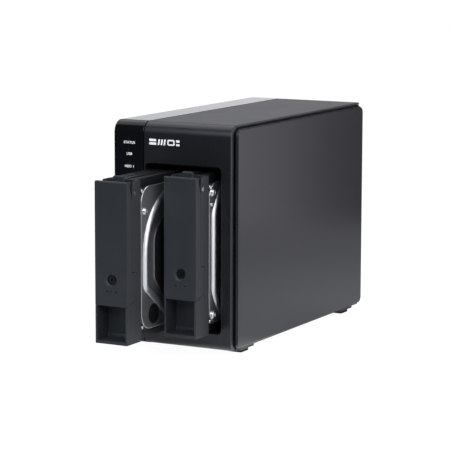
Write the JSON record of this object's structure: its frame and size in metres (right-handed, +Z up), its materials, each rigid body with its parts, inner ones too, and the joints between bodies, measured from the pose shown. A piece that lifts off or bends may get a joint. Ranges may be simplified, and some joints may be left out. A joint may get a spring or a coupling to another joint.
{
  "type": "network attached storage",
  "caption": "Desktop network storage enclosure with hot-swap drive trays pulled part way out, lever handles, indicator column, rear fan and ports.",
  "frame": {"origin": "centre of the enclosure's footprint, on the table, trays not counted", "axes": "+Z up, -Y towards the front with the trays, +X to the right as seen from the front"},
  "size_m": [0.102, 0.2925, 0.1685],
  "materials": {
    "bezel_plastic": "satin black ABS with a fine grain",
    "gloss_black": "high gloss black",
    "smoked_lens": "smoked clear polycarbonate",
    "button_plastic": "satin black",
    "circuit_board": "green solder mask",
    "top_cover_paint": "fine matte dark grey paint",
    "base_paint": "matte black paint",
    "side_panel_paint": "fine matte metallic dark grey",
    "rear_panel_paint": "textured black powder coat",
    "black_plastic": "fine grained black",
    "foot_rubber": "soft matte",
    "sheet_steel": "galvanised sheet",
    "chip_resin": "moulded resin",
    "heatsink_aluminium": "extruded",
    "port_steel": "nickel plated",
    "switch_red": "moulded",
    "white_plastic": "moulded",
    "fan_plastic": "glass filled",
    "screw_steel": "nickel plated",
    "brass_standoff": "machined",
    "cable_jacket": "pvc jacket",
    "tray_plastic": "fine grained dark grey",
    "spring_steel": "drawn wire",
    "lock_metal": "black",
    "drive_casting": "black coated casting",
    "drive_cover_steel": "stamped cover"
  },
  "bodies": {
    "enclosure": {"front_bezel": "bezel_plastic", "indicator_column": "gloss_black", "light_pipes": "smoked_lens", "led_board": "circuit_board", "top_cover": "top_cover_paint", "gloss_top_strip": "gloss_black", "base_plate": "base_paint", "left_side_panel": "side_panel_paint", "right_side_panel": "side_panel_paint", "rear_panel": "rear_panel_paint", "foot_bases": "black_plastic", "foot_pads": "foot_rubber", "lower_bay_guide": "black_plastic", "upper_bay_guide": "black_plastic", "cage_left_wall": "sheet_steel", "cage_right_wall": "sheet_steel", "backplane_board": "circuit_board", "sata_receptacles": "black_plastic", "main_board": "circuit_board", "bridge_chip": "chip_resin", "heatsink": "heatsink_aluminium", "usb_port": "port_steel", "dc_inlet": "black_plastic", "mode_switch": "switch_red", "fan_frame": "black_plastic", "fan_screws": "screw_steel", "rear_screws": "screw_steel", "board_standoffs": "brass_standoff", "internal_screws": "screw_steel", "fan_cable": "cable_jacket"},
    "left_tray": {"left_tray_block": "tray_plastic", "left_handle_pin": "screw_steel", "left_handle_spring": "spring_steel", "left_tray_frame": "black_plastic", "left_drive_casting": "drive_casting", "left_drive_cover": "drive_cover_steel", "left_drive_board": "circuit_board", "left_drive_connector": "black_plastic", "left_cover_screws": "screw_steel", "left_mount_screws": "screw_steel"},
    "left_handle": {"left_tray_handle": "tray_plastic"},
    "left_lock": {"left_lock_barrel": "lock_metal"},
    "right_tray": {"right_tray_block": "tray_plastic", "right_handle_pin": "screw_steel", "right_handle_spring": "spring_steel", "right_tray_frame": "black_plastic", "right_drive_casting": "drive_casting", "right_drive_cover": "drive_cover_steel", "right_drive_board": "circuit_board", "right_drive_connector": "black_plastic", "right_cover_screws": "screw_steel", "right_mount_screws": "screw_steel"},
    "right_handle": {"right_tray_handle": "tray_plastic"},
    "right_lock": {"right_lock_barrel": "lock_metal"},
    "power_button": {"power_button": "button_plastic"},
    "set_button": {"set_button": "button_plastic"},
    "mode_lever_1": {"mode_lever_1": "white_plastic"},
    "mode_lever_2": {"mode_lever_2": "white_plastic"},
    "mode_lever_3": {"mode_lever_3": "white_plastic"},
    "fan_rotor": {"fan_rotor": "fan_plastic"}
  },
  "joints": [
    {"name": "left_tray_slide", "type": "slide", "parent": "enclosure", "child": "left_tray", "axis": [0, -1, 0], "range_m": [-0.0735, 0.12]},
    {"name": "left_handle_hinge", "type": "hinge", "parent": "left_tray", "child": "left_handle", "pos_m": [-0.007, -0.1726, 0.1252], "axis": [-1, 0, 0], "range_deg": [0, 45], "stiffness_Nm_per_rad": 0.03, "springref_deg": -17.19},
    {"name": "left_lock_turn", "type": "hinge", "parent": "left_handle", "child": "left_lock", "pos_m": [-0.007, -0.1808, 0.0646], "axis": [0, -1, 0], "range_deg": [0, 90]},
    {"name": "right_tray_slide", "type": "slide", "parent": "enclosure", "child": "right_tray", "axis": [0, -1, 0], "range_m": [-0.0297, 0.1638]},
    {"name": "right_handle_hinge", "type": "hinge", "parent": "right_tray", "child": "right_handle", "pos_m": [0.0234, -0.1288, 0.1252], "axis": [-1, 0, 0], "range_deg": [0, 45], "stiffness_Nm_per_rad": 0.03, "springref_deg": -17.19},
    {"name": "right_lock_turn", "type": "hinge", "parent": "right_handle", "child": "right_lock", "pos_m": [0.0234, -0.137, 0.0646], "axis": [0, -1, 0], "range_deg": [0, 90]},
    {"name": "power_button_press", "type": "slide", "parent": "enclosure", "child": "power_button", "axis": [0, 1, 0], "range_m": [0, 0.0008], "stiffness_N_per_m": 600, "springref_m": -0.001},
    {"name": "set_button_press", "type": "slide", "parent": "enclosure", "child": "set_button", "axis": [0, -1, 0], "range_m": [0, 0.0006], "stiffness_N_per_m": 600, "springref_m": -0.001},
    {"name": "mode_lever_1_slide", "type": "slide", "parent": "enclosure", "child": "mode_lever_1", "axis": [1, 0, 0], "range_m": [0, 0.0016]},
    {"name": "mode_lever_2_slide", "type": "slide", "parent": "enclosure", "child": "mode_lever_2", "axis": [1, 0, 0], "range_m": [0, 0.0016]},
    {"name": "mode_lever_3_slide", "type": "slide", "parent": "enclosure", "child": "mode_lever_3", "axis": [1, 0, 0], "range_m": [0, 0.0016]},
    {"name": "fan_spin", "type": "hinge", "parent": "enclosure", "child": "fan_rotor", "pos_m": [0.009, 0.0985, 0.104], "axis": [0, 1, 0], "continuous": true}
  ]
}
